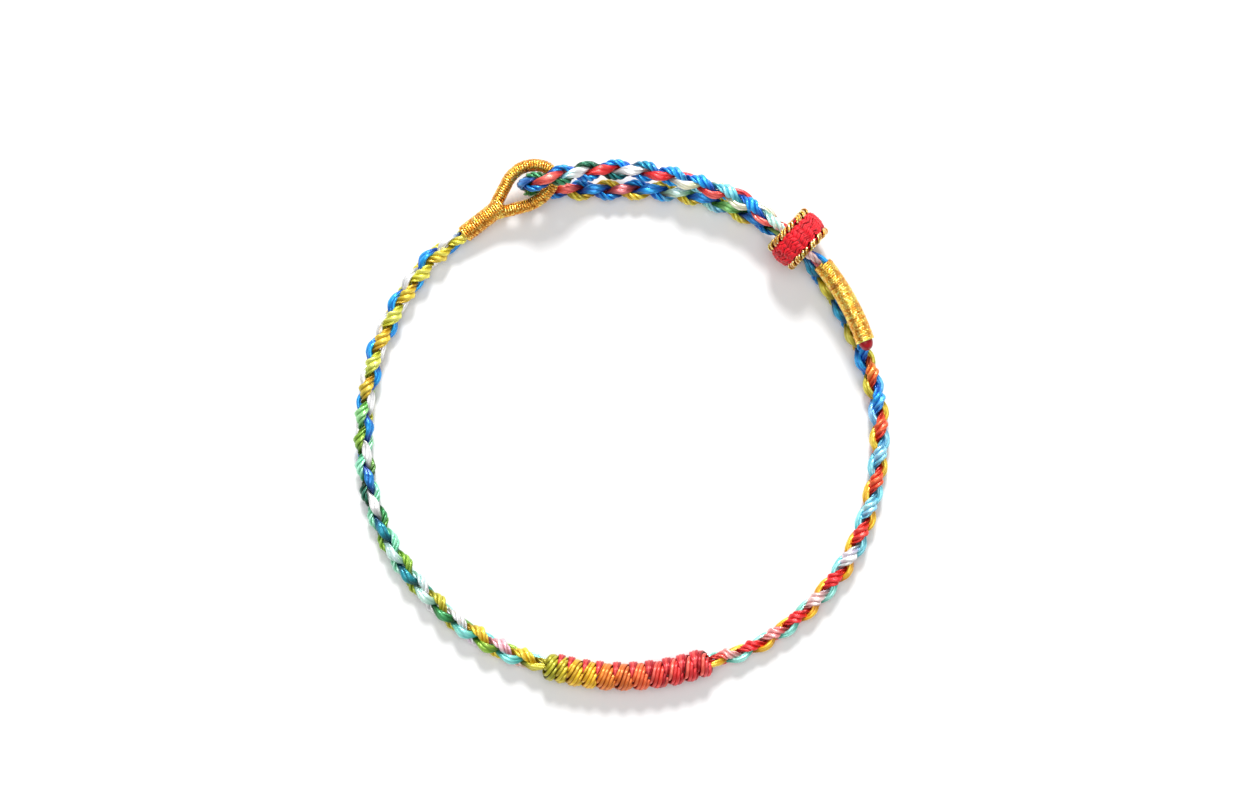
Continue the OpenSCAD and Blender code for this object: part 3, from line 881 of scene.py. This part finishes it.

# Windings of gold thread: their pitch, their thread's radius and their points in each turn. Under them lies
# a core of the same gold, darkened as painted shade, which is thinner by loop_core_in and tip_core_in.
gold_shade = to_linear((232, 167, 62))
loop_pitch, loop_thread_r = 0.29, 0.07
loop_core_in, loop_core_painted_shade, loop_core_sides = 0.1, 0.6, 14
neck_steps, neck_core_sides = 26, 16
tip_pitch, tip_thread_r, tip_steps = 0.25, 0.06, 26
tip_core_in, tip_core_painted_shade, tip_core_sides = 0.12, 0.4, 14
# The tip's windings are laid down lighter than the loop's, as painted light
tip_painted_light = 1.15


def in_loop(x, y):
    """Places x along the neck from its mouth, and y across it."""
    return mouth + x[:, None] * along_neck + y[:, None] * across_neck


def outline_of(start, slope, moves):
    """A path of straight runs ("go", length) and right-hand bends ("bend", radius, degrees)."""
    spot, head = np.array(start, float), math.radians(slope)
    path = [spot]
    for move in moves:
        if move[0] == "go":
            length = move[1]
            count = max(2, int(length / outline_step))
            for step in range(1, count + 1):
                path.append(spot + np.array([math.cos(head), math.sin(head)]) * length * step / count)
        else:
            radius, turn = move[1], math.radians(move[2])
            centre = spot + radius * np.array([math.sin(head), -math.cos(head)])
            count = max(4, int(radius * turn / outline_step))
            for step in range(1, count + 1):
                turned_head = head - turn * step / count
                path.append(centre + radius * np.array([-math.sin(turned_head), math.cos(turned_head)]))
            head = head - turn
        spot = path[-1]
    return np.array(path)


def gold_loop_parts():
    """Windings of the loop and its neck, each over a core of the gold darkened as painted shade."""
    flat_path = outline_of(fork, out_slope, LOOP_MOVES)
    loop_path = in_loop(flat_path[:, 0], flat_path[:, 1])
    neck_x = np.linspace(0, neck_to, 40)
    neck_path = in_loop(neck_x, 0 * neck_x)
    neck_wide = 1 + flare * np.clip((neck_x - flare_from) / flare_len, 0, 1) ** 1.5
    arm_core, neck_core = arm_r - loop_core_in, neck_r - loop_core_in
    dark = gold_shade * loop_core_painted_shade
    return [
        coil(loop_path, arm_r, loop_pitch, loop_thread_r, gold_shade, off_neck, seed=3),
        tube(loop_path, arm_core, arm_core, loop_core_sides, dark, start_side=off_neck),
        coil(neck_path, neck_r, loop_pitch, loop_thread_r, gold_shade, across_neck, seed=4, steps=neck_steps,
             scale=neck_wide),
        tube(neck_path[2:], neck_core, neck_core, neck_core_sides, dark, start_side=across_neck),
    ]


def gold_tip_parts():
    path = at_angle(np.linspace(tip_from, tip_to, 80), ring_r, tip_z)
    tip_core = tip_r - tip_core_in
    return [
        coil(path, tip_r, tip_pitch, tip_thread_r, gold_shade * tip_painted_light, UP, seed=6, steps=tip_steps),
        tube(path[1:], tip_core, tip_core, tip_core_sides, gold_shade * tip_core_painted_shade),
    ]


make_piece("gold_loop_windings", gold_loop_parts(), gold, ["gold_loop"])
make_piece("gold_tip_windings", gold_tip_parts(), gold, ["gold_tip"])


# Cap at the tip's end, a slightly lumpy dome

cap_r, cap_len, cap_sunk = 0.84, 1.16, 0.02
cap_top_r = 0.002
cap_lumps = 0.03
cap_rings, cap_sides = 14, 28
cap_red = (156, 10, 26)


def cap_parts():
    out = at_angle(tip_to, 1.0, 0)
    axis = clockwise(out)
    seat = at_angle(tip_to, ring_r, tip_z)
    turn = np.arange(cap_sides) / cap_sides * TAU
    grow = np.linspace(0, 1, cap_rings)
    rings = []
    for share, lift in zip(grow, np.sin(grow * math.pi / 2)):
        radius = cap_r * math.cos(share * math.pi / 2) ** 0.85
        radius = radius * (1 + cap_lumps * np.sin(3 * turn + 4 * share)) + cap_top_r
        height = cap_len * lift + cap_lumps * np.sin(2 * turn + 1) - cap_sunk
        rings.append(seat + height[:, None] * axis + (radius * np.cos(turn))[:, None] * out
                     + (radius * np.sin(turn))[:, None] * UP)
    shades = np.tile(to_linear(cap_red), (cap_rings, 1))
    return [grid_part(np.array(rings), shades, grow)]


make_piece("cap_dome", cap_parts(), sealed, ["tip_cap"])


# Sliding bead. Its own frame: angle round its axis, distance from it, and place along it

bead_seat = at_angle(bead_at, ring_r - bead_in, belt_r)
bead_outward = at_angle(bead_at, 1.0, 0)
bead_axis = clockwise(bead_outward)
# The stitches of the belt reach a little way under the rims
half_belt = belt_len / 2 + 0.06

crimson = (224, 20, 40)
rim_wine = (128, 8, 18)
ground_wine_shaded = (128, 4, 20)
# The rims' gold is paler than the windings' gold, as painted light on their sideways faces
rim_gold = (240, 198, 116)

# The ground under the stitches, darker than they are as painted shade in the gaps between them: its end
# faces, the edges round them, and its places along the belt
face_at, face_r = 1.9, 1.9
edge_at, edge_r = 1.7, 2.3
belt_at = np.array([-1.1, -0.8, -0.4, 0, 0.4, 0.8, 1.1])
# How far the belt's crown lies inside belt_r, and how much further it falls towards the rims
crown_in, crown_fall = 0.17, 0.42

# The belt's stitches stand in ribs round the bead, each of two legs that lean towards each other, in rows
# along its axis. A leg's middle and reach are shares of half a rib, and its shift is one of a row.
ribs, rows_of_stitches = 15, 12
leg_middle, leg_reach = 0.5, 0.68
leg_shift, leg_climb = 0.2, 0.15
rib_lift, rib_drop, leg_end_drop = 0.05, 0.1, 0.05
stitch_half_thick, stitch_half_wide = 0.13, 0.14
# How uneven stitches are: their place round and along the bead, their height and their dye
stitch_play, stitch_height_play, stitch_dye_play = 0.03, 0.025, 0.2
stitch_sides = 8

# Threads over each end: their number, half measures, start and way in, and turn on the way in radians
end_threads = 30
end_half_thick, end_half_wide = 0.12, 0.27
end_from_r, end_way_in = 2.5, 2.1
end_at, end_bulge = 1.74, 0.16
end_turn_in = 0.3
end_taper = 0.75
end_light, end_dye_play = 0.85, 0.15

# The rims: radius of their bend, place along the axis, radius of their ground, and pairs of stitches
rim_bend, rim_at, rim_ground = 2.69, belt_len / 2 + 0.37, 0.3
rim_pairs = 15
# Where the two stitches of a pair stand, as shares of the pair's room
pair_from, pair_apart = 0.2, 0.36
# A rim stitch's slant round the bead in radians, and where it begins and how far it leans round the rim
rim_slant = 0.34
rim_lean_from, rim_lean = -80, 235
rim_half_thick, rim_half_wide = 0.13, 0.24
rim_lift, rim_height_play = 0.07, 0.02
# The rim stitches' gold is laid down lighter still, as painted light
rim_painted_light, rim_dye_play = 1.1, 0.18


def on_bead(angle, radius, along):
    """Places on the bead. The angle is 0 on the ring's outer side and a quarter turn at the top."""
    angle, radius, along = np.broadcast_arrays(angle, radius, along)
    return (bead_seat + (radius * np.cos(angle))[..., None] * bead_outward
            + (radius * np.sin(angle))[..., None] * UP + along[..., None] * bead_axis)


def belt_crown(along):
    """Radius of the belt's ground, which rounds off towards the rims."""
    return belt_r - crown_in - crown_fall * np.abs(along / half_belt) ** 3


def bead_ground():
    places = np.r_[-face_at, -face_at, -edge_at, belt_at, edge_at, face_at, face_at]
    radii = np.r_[0, face_r, edge_r, belt_crown(belt_at) - 0.02, edge_r, face_r, 0] + 0.01
    turn = np.arange(48) / 48 * TAU
    rings = np.array([on_bead(turn, radius, place) for radius, place in zip(radii, places)])
    shades = np.tile(to_linear(ground_wine_shaded), (len(radii), 1))
    return grid_part(rings, shades, np.arange(len(radii)) * 0.3, capped=False)


def belt_parts(rng):
    """The stitches' legs taper at both ends, and meet over the crown of their rib."""
    t = np.linspace(-1, 1, 9)
    rib_half = math.pi / ribs
    ease = np.sqrt(np.clip(1.02 - t * t, 0.03, 1))
    parts = []
    for rib in range(ribs):
        rib_middle = (rib + 0.5) / ribs * TAU
        for leg in (-1, 1):
            for row in range(rows_of_stitches):
                row_at = -half_belt + (row + 0.5 + leg_shift * leg) * 2 * half_belt / rows_of_stitches
                angle = rib_middle + leg * rib_half * (leg_middle + leg_reach * t)
                angle = angle + stitch_play * rng.normal()
                along = row_at + leg_climb * t + stitch_play * rng.normal()
                along = np.clip(along, -half_belt, half_belt)
                radius = belt_crown(along) + rib_lift - rib_drop * (angle - rib_middle) ** 2 / rib_half**2
                radius = radius + stitch_height_play * rng.normal() - leg_end_drop * t * t
                shade = uneven_dye(crimson, rng, stitch_dye_play)
                path = on_bead(angle, radius, along)
                parts.append(tube(path, stitch_half_thick, stitch_half_wide, stitch_sides, shade,
                                  scale=ease, core=on_bead(angle, 0, along)))
    return parts


def end_thread_parts(rng):
    """Threads run in from each rim over the bead's ends, round to the cords."""
    t = np.linspace(0, 1, 9)
    parts = []
    for side in (-1, 1):
        for thread in range(end_threads):
            angle = (thread + 0.5) / end_threads * TAU + side * end_turn_in * t
            angle = angle + stitch_play * rng.normal()
            along = side * (end_at + end_bulge * np.minimum(1, 4 * t))
            path = on_bead(angle, end_from_r - end_way_in * t, along)
            shade = uneven_dye(crimson, rng, end_dye_play, light=end_light)
            parts.append(tube(path, end_half_thick, end_half_wide, stitch_sides, shade,
                              start_side=bead_axis, scale=1 - end_taper * t))
    return parts


def rim_parts(side, rng):
    """Gold stitches lean over a rim in pairs, with the dark red ground between the pairs."""
    ring = on_bead(np.arange(72) / 72 * TAU, rim_bend, side * rim_at)
    parts = [tube(ring, rim_ground, rim_ground, 10, to_linear(rim_wine), start_side=bead_axis, closed=True)]
    t = np.linspace(0, 1, 14)
    lean = np.radians(rim_lean_from + rim_lean * t)
    ease = np.sqrt(np.clip(1.02 - (2 * t - 1) ** 4, 0.03, 1))
    for pair in range(rim_pairs):
        for stitch in range(2):
            place = (pair + pair_from + pair_apart * stitch) / rim_pairs * TAU + stitch_play * rng.normal()
            angle = place + side * rim_slant * (t - 0.5)
            height = rim_ground + rim_lift + rim_height_play * rng.normal()
            path = on_bead(angle, rim_bend + height * np.cos(lean), side * (rim_at + height * np.sin(lean)))
            shade = uneven_dye(rim_gold, rng, rim_dye_play, light=rim_painted_light)
            parts.append(tube(path, rim_half_thick, rim_half_wide, stitch_sides, shade, scale=ease,
                              core=on_bead(angle, rim_bend, side * rim_at)))
    return parts


bead_rng = np.random.default_rng(8)
red_parts = [bead_ground()] + belt_parts(bead_rng) + end_thread_parts(bead_rng)
make_piece("belt_stitches", red_parts, knit, ["slider_band"])
for side, name in ((-1, "slider_rim_loop_side"), (1, "slider_rim_tip_side")):
    make_piece(name + "_stitches", rim_parts(side, bead_rng), gold, [name])


# Floor and light, in metres

half_floor = 1.5
floor_white = 0.94
floor_roughness, floor_specular = 0.9, 0.1
world_light = 0.34


def make_floor():
    corners = [(x * half_floor, y * half_floor, 0) for x, y in ((-1, -1), (1, -1), (1, 1), (-1, 1))]
    mesh = bpy.data.meshes.new("floor")
    mesh.from_pydata(corners, [], [(0, 1, 2, 3)])
    material, shader = new_material("floor")
    set_inputs(shader, {
        "Base Color": (floor_white, floor_white, floor_white, 1),
        "Roughness": floor_roughness,
        "Specular IOR Level": floor_specular,
    })
    mesh.materials.append(material)
    floor = bpy.data.objects.new("floor", mesh)
    bpy.context.collection.objects.link(floor)


def light_world():
    world = bpy.data.worlds.new("studio")
    world.use_nodes = True
    set_inputs(world.node_tree.nodes["Background"], {"Color": (1, 1, 1, 1), "Strength": world_light})
    bpy.context.scene.world = world


def area_light(name, place, size, power):
    """A round light that points at the part."""
    data = bpy.data.lights.new(name, "AREA")
    data.shape = "DISK"
    data.size = size
    data.energy = power
    light = bpy.data.objects.new(name, data)
    light.location = place
    light.rotation_euler = (-Vector(place)).to_track_quat("-Z", "Y").to_euler()
    bpy.context.collection.objects.link(light)


make_floor()
light_world()
area_light("key", place=(0.02, 0.79, 0.64), size=0.26, power=10.8)
area_light("overhead", place=(0, 0.02, 0.7), size=0.6, power=2.2)
bpy.context.scene.view_settings.view_transform = "Standard"
